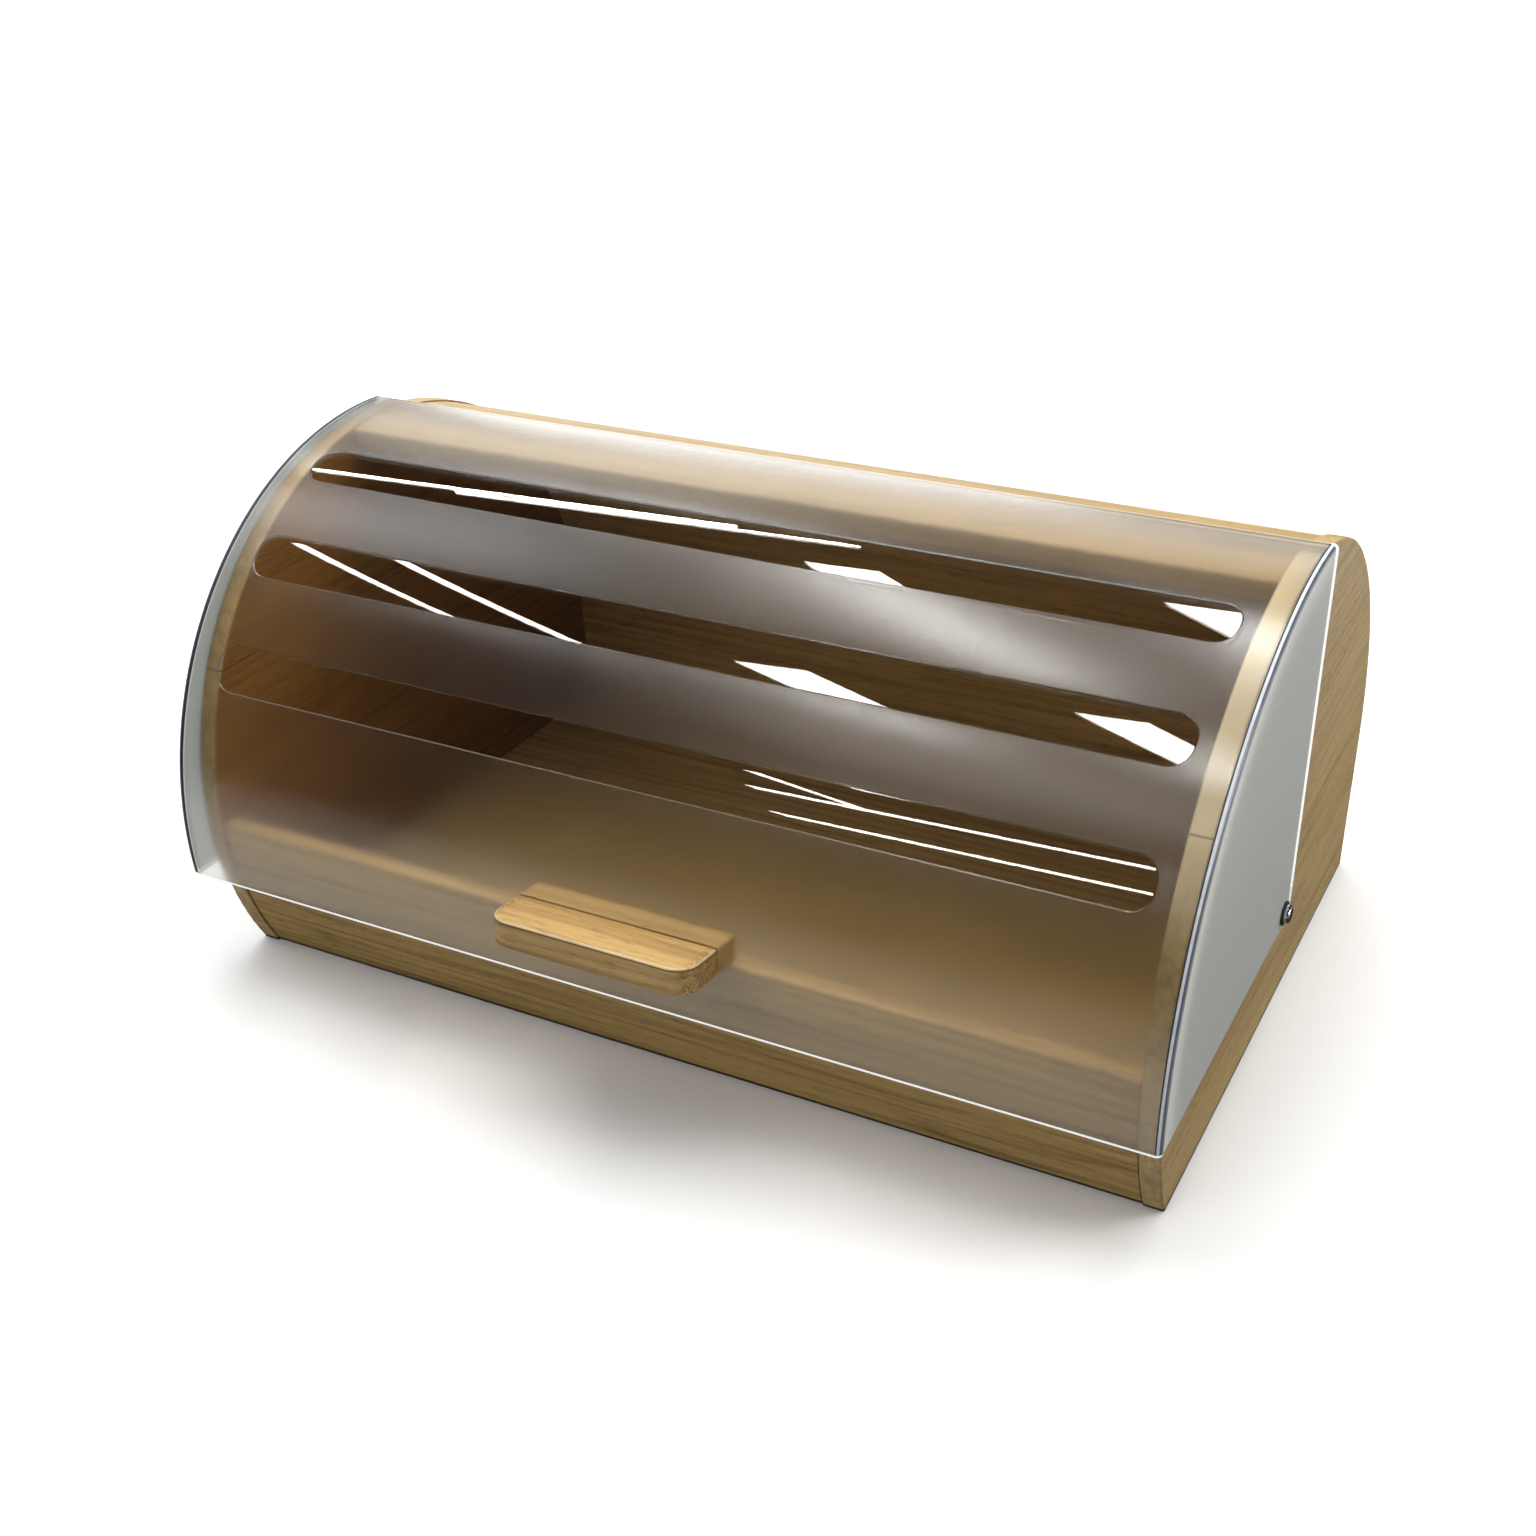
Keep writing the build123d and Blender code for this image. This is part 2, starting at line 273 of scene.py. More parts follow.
    height = g.maths("ADD", g.times(fibre, 0.35), g.times(pore, -0.8))
    height = g.maths("ADD", height, g.times(ring, -0.25))
    lacquer = g.maths("MULTIPLY_ADD", streak, 0.12, 0.36)
    roughness = g.maths("MULTIPLY_ADD", pore, 0.15, lacquer)
    shader = g.node("ShaderNodeBsdfPrincipled", Base_Color=colour, Roughness=roughness, IOR=1.48)
    shader.inputs["Specular IOR Level"].default_value = 0.35
    g.put(shader.inputs["Normal"], g.bump(height, 0.35, 0.0002))
    return g.surface(shader.outputs[0])


SATIN_GRAIN = 2600.0  # the fine sparkle of a satin acrylic face


def sheet_plastic(name, tint, rough, lamp_tint, shine=0.5):
    """Smoke-grey acrylic. Lamp rays pass through it tinted, so that what is behind it is lit."""
    g = Graph(name)
    fine = g.noise(g.stretch((SATIN_GRAIN,) * 3), 1.0, 2.0, 0.6)
    broad = g.noise(g.stretch((35.0,) * 3), 1.0, 2.0, 0.5)
    if rough > 0.1:
        grainy = g.maths("MULTIPLY_ADD", fine, 0.06, rough - 0.055)
        roughness = g.maths("MULTIPLY_ADD", broad, 0.05, grainy)
        normal = g.bump(fine, 0.10, 0.00003)
    else:
        wiped = g.noise(g.stretch((9.0, 60.0, 60.0)), 1.0, 4.0, 0.7)
        roughness = g.times(g.span(wiped, 0.55, 0.8), rough)
        normal = g.bump(broad, 0.02, 0.0001)
    shader = g.node("ShaderNodeBsdfPrincipled", Base_Color=tint, Roughness=roughness, IOR=1.49)
    shader.inputs["Transmission Weight"].default_value = 1.0
    shader.inputs["Specular IOR Level"].default_value = shine
    g.put(shader.inputs["Normal"], normal)
    clear = g.node("ShaderNodeBsdfTransparent", Color=lamp_tint)
    path = g.node("ShaderNodeLightPath")
    both = g.node("ShaderNodeMixShader")
    g.put(both.inputs[0], path.outputs["Is Shadow Ray"])
    g.put(both.inputs[1], shader.outputs[0])
    g.put(both.inputs[2], clear.outputs[0])
    return g.surface(both.outputs[0])


def frosted_side(name, tint, glow_tint, rough):
    """The lid's flat sides: a milky satin face that also lets light soak through."""
    g = Graph(name)
    fine = g.noise(g.stretch((SATIN_GRAIN,) * 3), 1.0, 2.0, 0.6)
    broad = g.noise(g.stretch((22.0,) * 3), 1.0, 2.0, 0.5)
    colour = g.mix(g.ramp(broad, (0.3, 0.0), (0.7, 1.0)), tint, shaded(tint, 0.96))
    roughness = g.maths("MULTIPLY_ADD", fine, 0.1, rough - 0.05)
    face = g.node("ShaderNodeBsdfPrincipled", Base_Color=colour, Roughness=roughness, IOR=1.49)
    g.put(face.inputs["Normal"], g.bump(fine, 0.12, 0.00003))
    soak = g.node("ShaderNodeBsdfTranslucent", Color=glow_tint)
    both = g.node("ShaderNodeMixShader")
    both.inputs[0].default_value = 0.35
    g.put(both.inputs[1], face.outputs[0])
    g.put(both.inputs[2], soak.outputs[0])
    return g.surface(both.outputs[0])


def glowing_edge(name, tint, strength):
    """A cut acrylic edge painted as a bright line: a pale colour and an emission glow that stand in for the
    light the sheet pipes to it.
    """
    g = Graph(name)
    marks = g.noise(g.stretch((120.0, 900.0, 900.0)), 1.0, 3.0, 0.6)
    colour = g.mix(g.ramp(marks, (0.35, 0.0), (0.8, 1.0)), tint, shaded(tint, 0.8))
    shader = g.node("ShaderNodeBsdfPrincipled", Base_Color=colour, Roughness=0.35, IOR=1.49)
    # painted glow: the edge emits light though it is no lamp
    shader.inputs["Emission Color"].default_value = (0.95, 0.98, 1.0, 1)
    shader.inputs["Emission Strength"].default_value = strength
    g.put(shader.inputs["Normal"], g.bump(marks, 0.1, 0.00005))
    return g.surface(shader.outputs[0])


def plain_metal(name, colour, rough):
    """Plated or turned metal with fine scratches along Z."""
    g = Graph(name)
    fine = g.noise(g.stretch((900.0, 900.0, 3600.0)), 1.0, 3.0, 0.6)
    patches = g.noise(g.stretch((300.0,) * 3), 1.0, 2.0, 0.5)
    tone = g.mix(g.ramp(patches, (0.3, 0.0), (0.75, 0.25)), colour, shaded(colour, 0.7))
    roughness = g.maths("MULTIPLY_ADD", fine, 0.18, rough - 0.05)
    shader = g.node("ShaderNodeBsdfPrincipled", Base_Color=tone, Roughness=roughness, Metallic=1.0)
    g.put(shader.inputs["Normal"], g.bump(fine, 0.08, 0.00003))
    return g.surface(shader.outputs[0])


def plain_nylon(name, colour, rough):
    """A solid matt plastic with a fine grain and faint patches."""
    g = Graph(name)
    fine = g.noise(g.stretch((2200.0,) * 3), 1.0, 3.0, 0.6)
    patches = g.noise(g.stretch((180.0,) * 3), 1.0, 2.0, 0.5)
    paler = tuple(min(1.0, v * 1.25 + 0.004) for v in colour)
    tone = g.mix(g.ramp(patches, (0.3, 0.0), (0.75, 1.0)), colour, paler)
    roughness = g.maths("MULTIPLY_ADD", fine, 0.2, rough - 0.1)
    shader = g.node("ShaderNodeBsdfPrincipled", Base_Color=tone, Roughness=roughness, IOR=1.53)
    g.put(shader.inputs["Normal"], g.bump(fine, 0.15, 0.00005))
    return g.surface(shader.outputs[0])


OAK = ((0.57, 0.41, 0.19), (0.47, 0.32, 0.135), (0.22, 0.125, 0.042))
INNER_OAK = ((0.76, 0.56, 0.26), (0.64, 0.45, 0.19), (0.28, 0.17, 0.065))
RAIL_OAK = ((0.56, 0.37, 0.13), (0.43, 0.27, 0.08), (0.16, 0.082, 0.022))
HANDLE_OAK = ((0.56, 0.365, 0.135), (0.46, 0.29, 0.10), (0.22, 0.12, 0.036))
BLOCK_OAK = ((0.62, 0.43, 0.20), (0.52, 0.35, 0.15), (0.28, 0.17, 0.06))
BEECH = ((0.66, 0.50, 0.30), (0.58, 0.42, 0.24), (0.40, 0.26, 0.13))
# painted shade for an end panel's inner face
INSIDE = (0.58, 0.42, 0.26)  # how much darker an end panel's inner face is
RAIL_SEAMS = (("X", 0.192, 0.0007), ("X", -0.192, 0.0007))
# colour of the painted highlight on the right end panel's front edge
EDGE_HIGHLIGHT = (0.80, 0.66, 0.42)
HANDLE_END = 0.0395
HANDLE_ANGLE = 172.4  # degrees round the lid
HANDLE_PITH = (-0.12, -0.03)

inner_oak = wood("oak_inner", "X", INNER_OAK, (0.30, -0.10), 190.0, 0.75, streaks=0.7)
rail_oak = wood("oak_rail", "X", RAIL_OAK, (-0.21, -0.02), 330.0, 0.75, RAIL_SEAMS, 11.0, streaks=0.8)
roof_oak = wood("oak_roof", "X", OAK, (0.05, -0.05), 150.0, 0.5, seed=4.0)
panel_look = dict(rings=150.0, figure=0.4, inside=INSIDE, front_edge=True)
right_seam, left_seam = ("Z", 0.142, 0.0004), ("Z", 0.125, 0.0004)
panel_right = wood(
    "oak_panel_right",
    "Y",
    OAK,
    (0.27, 0.045),
    seams=(right_seam,),
    seed=2.0,
    edge_highlight=EDGE_HIGHLIGHT,
    **panel_look,
)
panel_left = wood("oak_panel_left", "Y", OAK, (-0.27, 0.07), seams=(left_seam,), seed=7.0, **panel_look)
handle_look = dict(streaks=0.8, ends=HANDLE_END, handle_angle=HANDLE_ANGLE)
handle_oak = wood("oak_handle", "X", HANDLE_OAK, HANDLE_PITH, 260.0, 0.65, seed=5.0, **handle_look)
block_oak = wood("oak_block", "X", BLOCK_OAK, HANDLE_PITH, 260.0, 0.5, seed=6.0)
dowel_beech = wood("beech_dowel", "X", BEECH, (0.2, 0.2), 300.0, 0.2, seed=9.0)
LAMP_TINT = (0.97, 0.93, 0.84)
satin = sheet_plastic("acrylic_satin", (0.72, 0.715, 0.69), 0.24, LAMP_TINT)
polished = sheet_plastic("acrylic_polished", (0.72, 0.71, 0.69), 0.03, LAMP_TINT)
# painted shade: the window slopes are dark glass, for the dark lines round the windows
dark_painted_slope = sheet_plastic("acrylic_slope_painted_dark", (0.22, 0.20, 0.17), 0.24, (0.85, 0.85, 0.82), shine=0.0)
cheek_satin = frosted_side("acrylic_cheek", (0.64, 0.64, 0.61), (0.80, 0.87, 0.90), 0.45)
glowing_cut_edge = glowing_edge("acrylic_edge_glow", (0.86, 0.88, 0.88), 0.5)
# painted reflections in light, navy, grey and dark bands for the lid's rounded corners
corner_painted_highlight = plain_nylon("acrylic_corner_light", (0.62, 0.65, 0.68), 0.22)
corner_painted_dark = plain_nylon("acrylic_corner", (0.012, 0.016, 0.024), 0.5)
corner_painted_navy = plain_nylon("acrylic_corner_navy", (0.10, 0.11, 0.14), 0.22)
corner_painted_grey = plain_nylon("acrylic_corner_grey", (0.26, 0.28, 0.29), 0.25)
steel = plain_metal("plated_steel", (0.80, 0.80, 0.82), 0.16)
brass = plain_metal("turned_brass", (0.72, 0.53, 0.24), 0.28)
black = plain_nylon("black_nylon", (0.012, 0.012, 0.013), 0.45)
white = plain_nylon("white_nylon", (0.72, 0.72, 0.69), 0.5)

looks = {
    "left_end_panel": panel_left,
    "right_end_panel": panel_right,
    "base_board": inner_oak,
    "front_rail": rail_oak,
    "roof_panel": roof_oak,
    "back_board": inner_oak,
    "outer_handle": handle_oak,
    "inner_handle_block": block_oak,
    "handle_screws": steel,
}
looks_by_ending = {
    "dowels": dowel_beech,
    "insert": brass,
    "bushing": white,
    "washer": black,
    "pivot_screw": steel,
}
for name in nodes:
    look = looks.get(name)
    for ending, shared in looks_by_ending.items():
        if name.endswith(ending):
            look = shared
    if not look:
        continue  # lid_shell, which lid_sheet replaces below
    mesh = nodes[name].data
    if not mesh.materials:
        mesh.materials.append(look)
    for index in range(len(mesh.materials)):
        mesh.materials[index] = look


# ---------------------------------------------------------------- the lid
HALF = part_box("lid_shell")[1].x  # half the lid's length
WALL = 2.4 * MM
RADIUS = 144.0 * MM
START, END = radians(86.8), radians(183.4)  # the curved sheet's two long edges
APEX, HOLE = 7.7 * MM, 3.25 * MM  # a cheek's rounded tip round the pivot, and the hole in it
ROUND = 2.2 * MM  # the corner between the curved sheet and a cheek
RIM, BEVEL, LIP = 1.2 * MM, 0.35 * MM, 0.6 * MM  # the cut edge's width, slope, and rise at the rear
WINDOWS = [radians(v) for v in (110.4, 128.95, 147.5)]
WINDOW_X, WINDOW_H, WINDOW_R = 188 * MM, 9.5 * MM, 8 * MM
WINDOW_DEPTH, WINDOW_SLOPE = 0.35 * MM, 0.55 * MM


def spread(radius):
    """How far past the sheet's end angle the straight cut edge lies, at this radius."""
    return asin(APEX / radius) - asin(APEX / RADIUS)


def turn_at(t, radius):
    middle, half = (START + END) / 2, (END - START) / 2
    return middle + t * (half + spread(radius))


def corner_steps(radius, count=9):
    """(offset from the middle of a window, half length there) round one end, from its top to its bottom."""
    straight, flat = WINDOW_X - WINDOW_R, WINDOW_H - WINDOW_R
    leans = [pi / 2 * (1 - k / count) for k in range(count + 1)]
    upper = [(flat + radius * sin(lean), straight + radius * cos(lean)) for lean in leans]
    return upper + [(-s, x) for s, x in reversed(upper)]


rows = []  # (angle, half length of the window there, which window or None)
for w, centre in enumerate(WINDOWS):
    for s, x in reversed(corner_steps(WINDOW_R)):
        rows.append((centre + s / RADIUS, x, w))
filled = []
stops = [START, START + RIM / RADIUS] + sorted(r[0] for r in rows) + [END - RIM / RADIUS, END]
for a, b in zip(stops, stops[1:]):
    count = max(1, ceil((b - a) / radians(1.0)))
    filled += [a + (b - a) * k / count for k in range(1, count)]
rows += [(a, None, None) for a in filled + stops[:2] + stops[-2:]]
rows.sort(key=lambda r: r[0])
rows = [(a, x if x else WINDOW_X - WINDOW_R, w) for a, x, w in rows]
for i, (a, x, w) in enumerate(rows):  # rows between a window's own rows belong to it
    if w is None and 0 < i < len(rows) - 1:
        for k, centre in enumerate(WINDOWS):
            if abs(a - centre) * RADIUS < WINDOW_H - WINDOW_R:
                rows[i] = (a, WINDOW_X, k)

verts, faces, kinds, mats = [], [], [], []
SATIN, CLEAR, CHEEK, EDGE, DARK, GREY, SLOPE, NAVY, LIGHT = range(9)
# the solid corners: painted reflections in light, navy, grey and dark bands
CORNER = {1: (DARK, LIGHT, LIGHT, NAVY, NAVY, GREY, GREY), -1: (DARK, NAVY, DARK, DARK, DARK, DARK, DARK)}


def vert(x, radius, turn):
    verts.append((x, radius * cos(turn), PIVOT.z + radius * sin(turn)))
    return len(verts) - 1


def face(corners, kind, mat):
    faces.append(corners)
    kinds.append(kind)
    mats.append(mat)


def grid(lines, kind, mat, flip=False, skip=None, edged=False):
    for i in range(len(lines) - 1):
        for j in range(len(lines[i]) - 1):
            if skip and skip(i, j):
                continue
            quad = [lines[i][j], lines[i][j + 1], lines[i + 1][j + 1], lines[i + 1][j]]
            # rim faces take the painted glowing edge
            on_rim = edged and i in (0, last - 1)
            own = mat if isinstance(mat, int) else mat[j]
            face(quad[::-1] if flip else quad, kind, EDGE if on_rim else own)


SIDE, MIDDLE, FILLET = 4, 24, 7  # steps beside a window, along it, and round the corner
# OUTLINE is the width of a painted dark reflection line beside the left corner
OUTLINE = 0.9 * MM  # the dark line beside the left corner
edge_x = HALF - ROUND


def columns(limit, end):
    left = [-end, -end + OUTLINE] + [-end + (end - limit) * k / SIDE for k in range(2, SIDE)]
    mid = [-limit + 2 * limit * k / MIDDLE for k in range(MIDDLE + 1)]
    return left + mid + [-v for v in reversed(left)]


def t_of(angle):
    return (angle - (START + END) / 2) / ((END - START) / 2)


def turn_row(i, radius):
    """Where row i lies at this radius. The end strips keep the rim's width all the way to the pivot."""
    half = (END - START) / 2
    t = t_of(rows[i][0])
    if 0 < i < last:
        t *= (1 - RIM / (radius * (half + spread(radius)))) / (1 - RIM / (RADIUS * half))
    return turn_at(t, radius)


last = len(rows) - 1


def drop(i, sideways=0.0):
    """How far the rim is cut back. On the cheeks the rear rim stands a little proud instead."""
    if i == 0:
        return BEVEL - (BEVEL + LIP) * sideways
    return BEVEL if i == last else 0.0


def skin_row(i, radius, limit, end):
    return [vert(x, radius, turn_row(i, radius)) for x in columns(limit, end)]


outer = [skin_row(i, RADIUS - drop(i), row[1], edge_x) for i, row in enumerate(rows)]


def in_window(i, j):
    a, b = rows[i], rows[i + 1]
    return a[2] is not None and a[2] == b[2] and SIDE <= j < SIDE + MIDDLE


# the first column, beside the left corner, is the painted dark reflection line
grid(outer, "out", [DARK] + [SATIN] * (2 * SIDE + MIDDLE), flip=True, skip=in_window, edged=True)
inner_x = HALF - WALL
inner = [skin_row(i, RADIUS - WALL, WINDOW_X - WINDOW_R, inner_x) for i in range(len(rows))]
grid(inner, "in", CLEAR)

# windows: a polished floor a little below the satin surface, inside a sloped edge of dark glass that paints
# the shade lines round each window
for w, centre in enumerate(WINDOWS):
    mine = [i for i, r in enumerate(rows) if r[2] == w]
    floor_steps = list(reversed(corner_steps(WINDOW_R - WINDOW_SLOPE)))
    while len(floor_steps) < len(mine):  # extra rows across the straight ends
        floor_steps.insert(len(floor_steps) // 2, (0.0, WINDOW_X - WINDOW_SLOPE))
    floor = []
    for i, (s, x) in zip(mine, floor_steps):
        s_here = (rows[i][0] - centre) * RADIUS if s == 0.0 else s
        across_floor = [-x + 2 * x * k / MIDDLE for k in range(MIDDLE + 1)]
        floor.append([vert(v, RADIUS - WINDOW_DEPTH, centre + s_here / RADIUS) for v in across_floor])
    grid(floor, "out", CLEAR, flip=True)
    rim = [outer[i][SIDE : SIDE + MIDDLE + 1] for i in mine]
    for lip, base in ((rim[0], floor[0]), (floor[-1], rim[-1])):
        grid([lip, base], "flat", SLOPE, flip=True)
    for i in range(len(mine) - 1):
        face([rim[i][0], rim[i + 1][0], floor[i + 1][0], floor[i][0]], "slope", SLOPE)
        face([floor[i][-1], floor[i + 1][-1], rim[i + 1][-1], rim[i][-1]], "slope", SLOPE)

# cheeks
radial_steps = [0.0, 0.03, 0.1, 0.25, 0.4, 0.55, 0.7, 0.8, 0.88, 0.94, 0.98, 1.0]
EXTRA = 24  # steps round the back of a cheek's tip
for side in (-1, 1):
    end = 0 if side < 0 else -1
    # rounded corner, in painted reflection bands
    bend = [[outer[i][end]] for i in range(len(rows))]
    for k in range(1, FILLET + 1):
        lean = pi / 2 * k / FILLET
        for i in range(len(rows)):
            turned = ROUND - drop(i, sin(lean))
            x = side * (edge_x + turned * sin(lean))
            r = RADIUS - ROUND + turned * cos(lean)
            bend[i].append(vert(x, r, turn_row(i, r)))
    grid(bend, "bend", CORNER[side], flip=side > 0, edged=True)
    skins = []
    for x, top, start_line in (
        (side * HALF, RADIUS - ROUND, [b[-1] for b in bend]),
        (side * inner_x, RADIUS - WALL, [r[end] for r in inner]),
    ):
        lines = [[v] for v in start_line]
        for step in radial_steps[1:]:
            r = top + (APEX - top) * step
            for i in range(len(rows)):
                cut_back = side * drop(i, 1.0) if abs(x) == HALF else 0.0
                lines[i].append(vert(x - cut_back, r, turn_row(i, r)))
        rest_start, rest_end = turn_at(1.0, APEX), turn_at(-1.0, APEX) + 2 * pi
        around = [line[-1] for line in lines]
        around += [vert(x, APEX, rest_start + (rest_end - rest_start) * k / EXTRA) for k in range(1, EXTRA)]
        turns = [turn_row(i, APEX) for i in range(len(rows))]
        turns += [rest_start + (rest_end - rest_start) * k / EXTRA for k in range(1, EXTRA)]
        hole = [vert(x, HOLE, a) for a in turns]
        skins.append((lines, around, hole))
    (out_lines, out_around, out_hole), (in_lines, in_around, in_hole) = skins
    grid(out_lines, "flat", CHEEK, flip=side > 0, edged=True)
    grid(in_lines, "flat", CLEAR, flip=side < 0)
    n = len(out_around)
    for around, hole, flip in ((out_around, out_hole, side > 0), (in_around, in_hole, side < 0)):
        grid([[around[k % n], hole[k % n]] for k in range(n + 1)], "flat", CHEEK, flip=flip)
    grid([[out_hole[k % n], in_hole[k % n]] for k in range(n + 1)], "tube", CHEEK, flip=side > 0)
    free = [k % n for k in range(last, n + 1)]
    grid([[in_around[k], out_around[k]] for k in free], "tube", CHEEK, flip=side > 0)
    for row, flip in ((0, side < 0), (last, side > 0)):
        a, b = out_lines[row], in_lines[row]
        for k in range(1, len(a) - 1):
            quad = [a[k], a[k + 1], b[k + 1], b[k]]
            face(quad[::-1] if flip else quad, "flat", CLEAR)
        ring = bend[row] + [a[1], b[1], b[0]]
        face(ring[::-1] if flip else ring, "flat", CLEAR)

# the sheet's two long edges
grid([outer[0], inner[0]], "flat", CLEAR)
grid([inner[-1], outer[-1]], "flat", CLEAR)

mesh = bpy.data.meshes.new("lid_sheet")
mesh.from_pydata(verts, [], faces)
for material in (
    satin,
    polished,
    cheek_satin,
    glowing_cut_edge,
    corner_painted_dark,
    corner_painted_grey,
    dark_painted_slope,
    corner_painted_navy,
    corner_painted_highlight,
):
    mesh.materials.append(material)
mesh.polygons.foreach_set("material_index", mats)
mesh.polygons.foreach_set("use_smooth", [k != "flat" for k in kinds])
mesh.update()

normals = [Vector((0, 0, 1))] * len(mesh.loops)
for poly, kind in zip(mesh.polygons, kinds):
    for li in poly.loop_indices:
        p = mesh.vertices[mesh.loops[li].vertex_index].co
        radial = Vector((0, p.y, p.z - PIVOT.z))
        radial.normalize()
        if kind == "out":
            normal = radial
        elif kind == "in":
            normal = -radial
        elif kind == "bend":
            side = 1 if p.x > 0 else -1
            r = hypot(p.y, p.z - PIVOT.z)
            outwards, sideways = max(r - (RADIUS - ROUND), 0), max(abs(p.x) - edge_x, 0)
            normal = radial * outwards + Vector((side, 0, 0)) * sideways
            normal.normalize()
        elif kind == "tube":
            normal = radial if poly.normal.dot(radial) > 0 else -radial
        else:
            normal = poly.normal.copy()
        normals[li] = normal
mesh.normals_split_custom_set(normals)
lid_sheet = bpy.data.objects.new("lid_sheet", mesh)
bpy.context.scene.collection.objects.link(lid_sheet)
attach(lid_sheet, "lid")
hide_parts("lid_shell")

# ---------------------------------------------------------------- stage, lights, camera
FLOOR_SIDES, FLOOR_Z = 96, -0.1 * MM  # a disc of 1 m radius just under the box
floor_mesh = bpy.data.meshes.new("floor")
floor_mesh.from_pydata(
    [(cos(2 * pi * k / FLOOR_SIDES), sin(2 * pi * k / FLOOR_SIDES), FLOOR_Z) for k in range(FLOOR_SIDES)],
    [],
    [tuple(range(FLOOR_SIDES))],
)
floor = bpy.data.objects.new("floor", floor_mesh)
bpy.context.scene.collection.objects.link(floor)
paper = Graph("paper")
tone = paper.ramp(paper.noise(paper.stretch((3.0,) * 3), 1.0, 2.0, 0.5), (0.3, 0.83), (0.7, 0.85))
floor_mesh.materials.append(paper.surface(paper.node("ShaderNodeBsdfDiffuse", Color=tone).outputs[0]))
floor.visible_glossy = False
floor.visible_diffuse = False


def lamp(name, place, aim, size, power, colour=(1, 1, 1), mirror_only=False):
    """An area lamp. One for mirrors only is seen in glossy surfaces and lights nothing else."""
    light = bpy.data.lights.new(name, "AREA")
    light.shape = "RECTANGLE"
    light.size, light.size_y = size
    light.energy = power
    light.color = colour
    made = bpy.data.objects.new(name, light)
    bpy.context.scene.collection.objects.link(made)
    away = Vector(place) - Vector(aim)
    made.matrix_world = Matrix.Translation(place) @ away.to_track_quat("Z", "Y").to_matrix().to_4x4()
    made.visible_camera = False
    if mirror_only:
        made.visible_diffuse = False
    else:
        made.visible_glossy = False
        made.visible_transmission = False
    return made


def reflected(name, place, aim, size, radiance, colour=(1, 1, 1)):
    """A lamp for mirrors only, given by how bright it looks."""
    return lamp(name, place, aim, size, 4 * radiance * size[0] * size[1], colour, mirror_only=True)


CEILING = 2.0


def strip(name, start, end, width, radiance):
    """A bright rectangle on the ceiling from start to end, for mirrors only."""
    a, b = Vector((*start, CEILING)), Vector((*end, CEILING))
    middle = (a + b) / 2
    made = reflected(name, middle, middle - Vector((0, 0, 1)), ((b - a).length, width), radiance)
    turn = atan2(b.y - a.y, b.x - a.x)
    made.matrix_world = Matrix.Translation(middle) @ Matrix.Rotation(turn, 4, "Z")


# soft light that lights the box
lamp("soft_top", (-0.25, 0.60, 2.1), (0, 0, 0.05), (2.2, 2.2), 64)
lamp("soft_back", (1.7, 0.8, 1.3), (0, 0, 0.12), (1.2, 1.2), 26, (1.0, 0.99, 0.96))
lamp("soft_left", (-2.0, 0.3, 0.9), (0, 0, 0.08), (1.2, 1.0), 16, (0.92, 0.96, 1.0))
lamp("soft_front", (-0.8, -2.2, 1.3), (0, 0, 0.05), (1.6, 1.2), 15)

# what the plastic mirrors of the room: ceiling panels and tubes as (start, end, width, radiance)
ceiling_lights = {
    "panel_0": ((-0.85, 0.62), (-0.46, -0.28), 0.13, 17),
    "panel_1": ((-0.93, -0.72), (-0.72, -1.20), 0.15, 17),
    "panel_2": ((-0.33, 0.97), (0.19, -0.28), 0.12, 17),
    "panel_3": ((-0.37, -0.53), (-0.15, -1.06), 0.12, 17),
    "tube_0": ((-1.90, 0.67), (-1.12, 0.98), 0.035, 80),
    "tube_1": ((-1.60, 0.72), (-0.90, 1.00), 0.03, 80),
    "tube_2": ((-1.80, -0.40), (-1.56, -1.02), 0.03, 22),
    "tube_3": ((-1.58, -0.36), (-1.29, -1.03), 0.032, 22),
    "tube_4": ((-1.47, -2.52), (-1.30, -2.84), 0.05, 22),
    "tube_5": ((-1.64, -2.97), (-0.52, -2.61), 0.06, 22),
    "tube_6": ((-1.88, -3.76), (-0.68, -3.39), 0.085, 22),
    "tube_7": ((-1.17, -2.35), (-1.00, -2.33), 0.04, 22),
    "ceiling_left": ((-2.3, 0.05), (-1.25, 0.05), 0.6, 2.1),
    "ceiling_front": ((-1.15, -1.6), (-0.2, -1.6), 0.7, 1.4),
    "ceiling_right": ((-1.0, 0.05), (-0.3, 0.05), 0.66, 0.8),
}
for name, values in ceiling_lights.items():
    strip(name, *values)
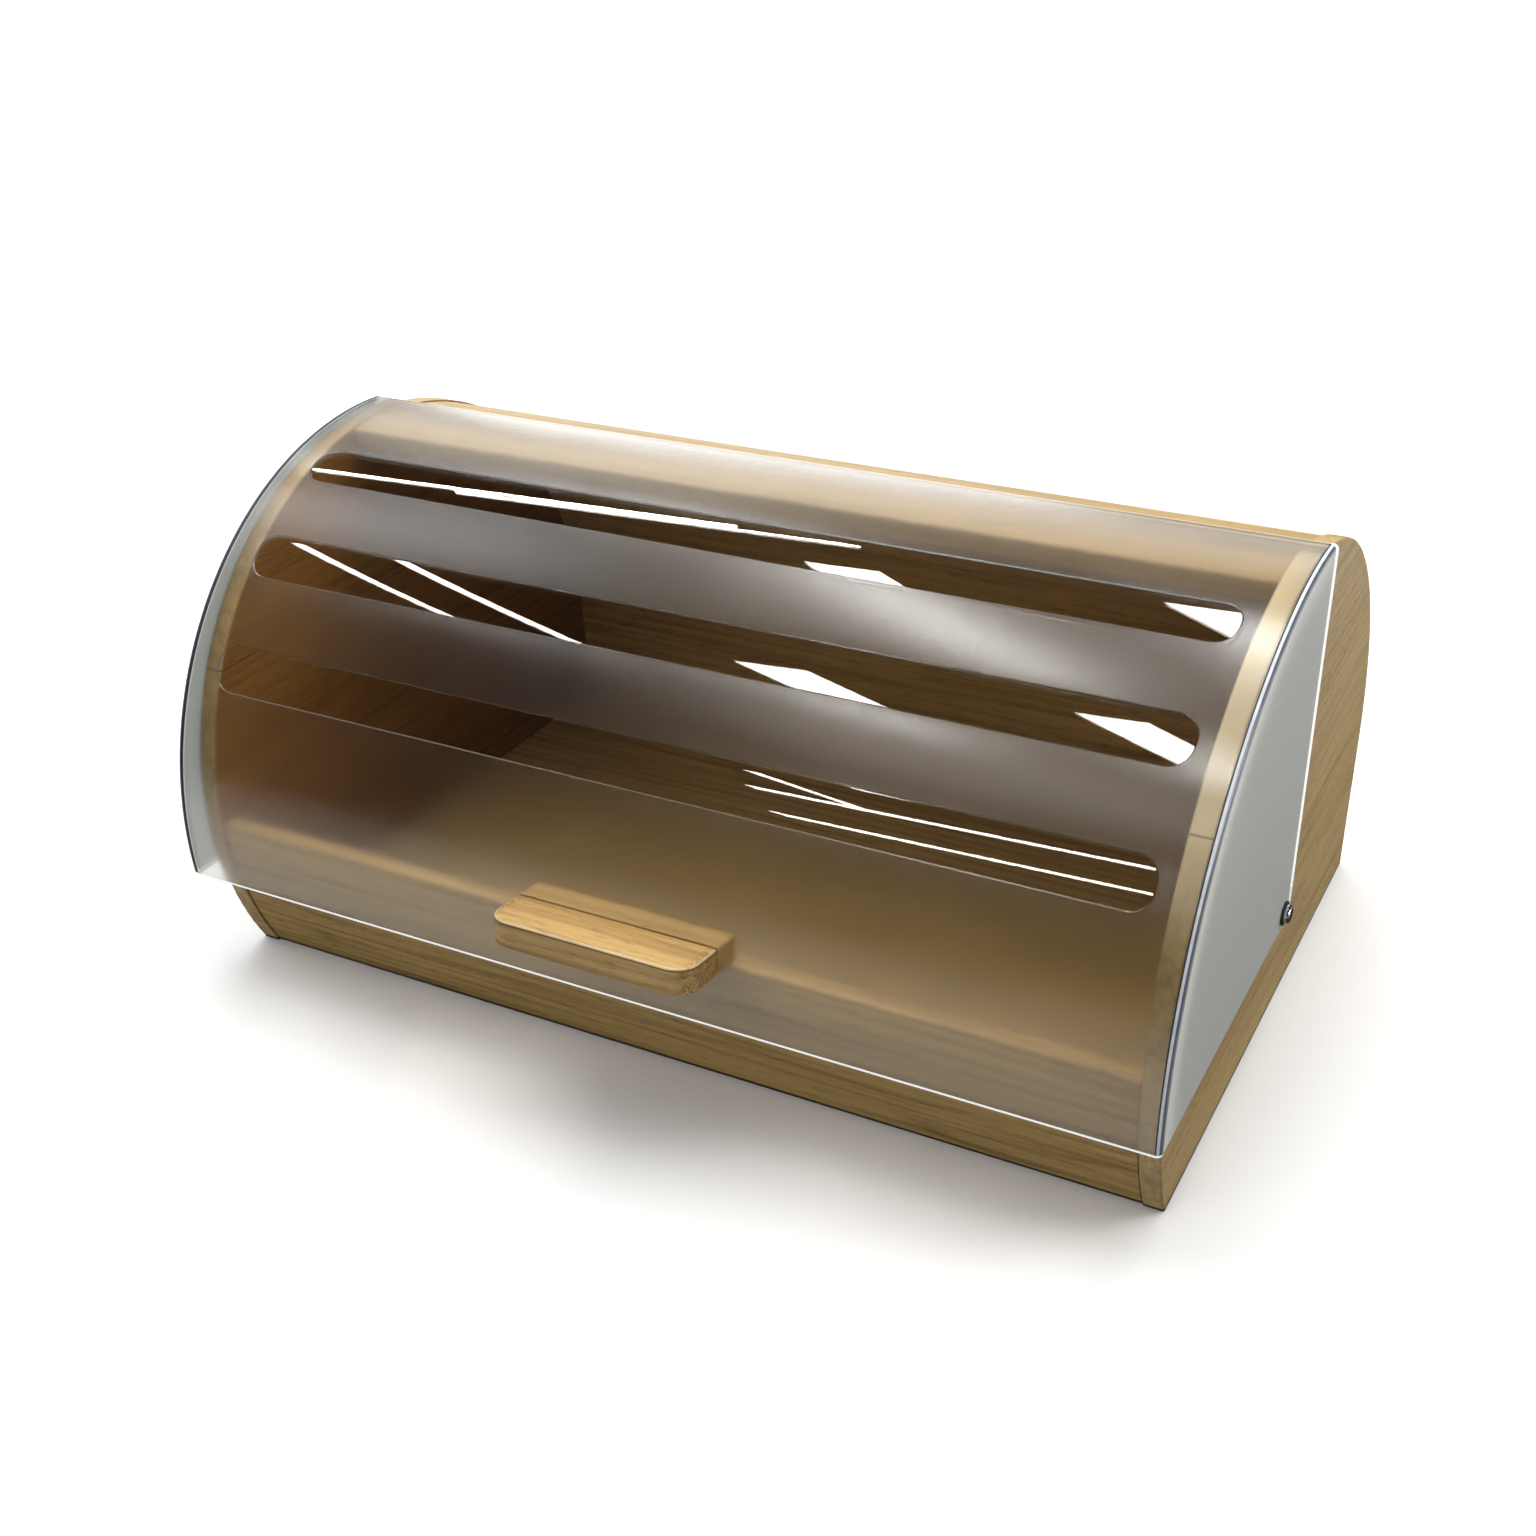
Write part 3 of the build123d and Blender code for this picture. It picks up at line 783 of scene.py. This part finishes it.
# walls, a window and the bright table
reflected("far_wall", (-1.6, 3.6, 2.4), (0, 0, 0.2), (4.0, 1.6), 1.0, (0.85, 0.93, 1.0))
reflected("right_card", (2.4, 0.1, 0.75), (0.2, 0.0, 0.1), (1.6, 0.5), 9.0)
reflected("right_floor", (0.62, 0.45, 0.002), (0.62, 0.45, 1), (0.6, 0.9), 0.8)
reflected("floor_glow", (-0.05, -0.26, 0.002), (-0.05, -0.26, 1), (1.0, 0.24), 0.45, (1.0, 0.98, 0.86))
reflected("far_window", (-2.0, 3.6, 1.1), (0, 0, 0.2), (1.7, 0.9), 2.8, (0.90, 0.93, 1.0))

world = bpy.data.worlds.new("studio")
bpy.context.scene.world = world
world.use_nodes = True
world.cycles.sampling_method = "NONE"
tree = world.node_tree
tree.nodes.clear()
out = tree.nodes.new("ShaderNodeOutputWorld")
path = tree.nodes.new("ShaderNodeLightPath")


def sky(colour, strength):
    made = tree.nodes.new("ShaderNodeBackground")
    made.inputs[0].default_value = (*colour, 1)
    made.inputs[1].default_value = strength
    return made.outputs[0]


def either(ray, usual, when_ray):
    """One sky for most rays and another for rays of one kind."""
    made = tree.nodes.new("ShaderNodeMixShader")
    for socket, source in zip(made.inputs, (path.outputs[ray], usual, when_ray)):
        tree.links.new(source, socket)
    return made.outputs[0]


SKY = (0.95, 0.97, 1.0)
around = either("Is Glossy Ray", sky(SKY, 0.35), sky(SKY, 0.03))
seen = either("Is Camera Ray", around, sky((1, 1, 1), 1.2))
tree.links.new(seen, out.inputs[0])

# the camera looks down at the box from the front right, turned a little about its own axis
yaw, pitch, roll = 0.4690469, 0.5689616, -0.0179715
CAMERA_PLACE = (0.314178, -0.574785, 0.427750)
across = Vector((cos(yaw), sin(yaw), 0))
ahead = Vector((-sin(yaw) * cos(pitch), cos(yaw) * cos(pitch), -sin(pitch)))
upward = across.cross(ahead)
right = cos(roll) * across + sin(roll) * upward
up = -sin(roll) * across + cos(roll) * upward
camera_data = bpy.data.cameras.new("camera")
camera_data.sensor_width = 36.0
camera_data.lens = 42.149
camera_data.shift_x = -0.05595
camera_data.shift_y = 0.07831
camera_data.clip_start = 0.01
camera_data.clip_end = 100.0
camera = bpy.data.objects.new("camera", camera_data)
bpy.context.scene.collection.objects.link(camera)
frame_matrix = Matrix((right, up, -ahead)).transposed().to_4x4()
camera.matrix_world = Matrix.Translation(CAMERA_PLACE) @ frame_matrix
bpy.context.scene.camera = camera
bpy.context.scene.view_settings.view_transform = "Standard"
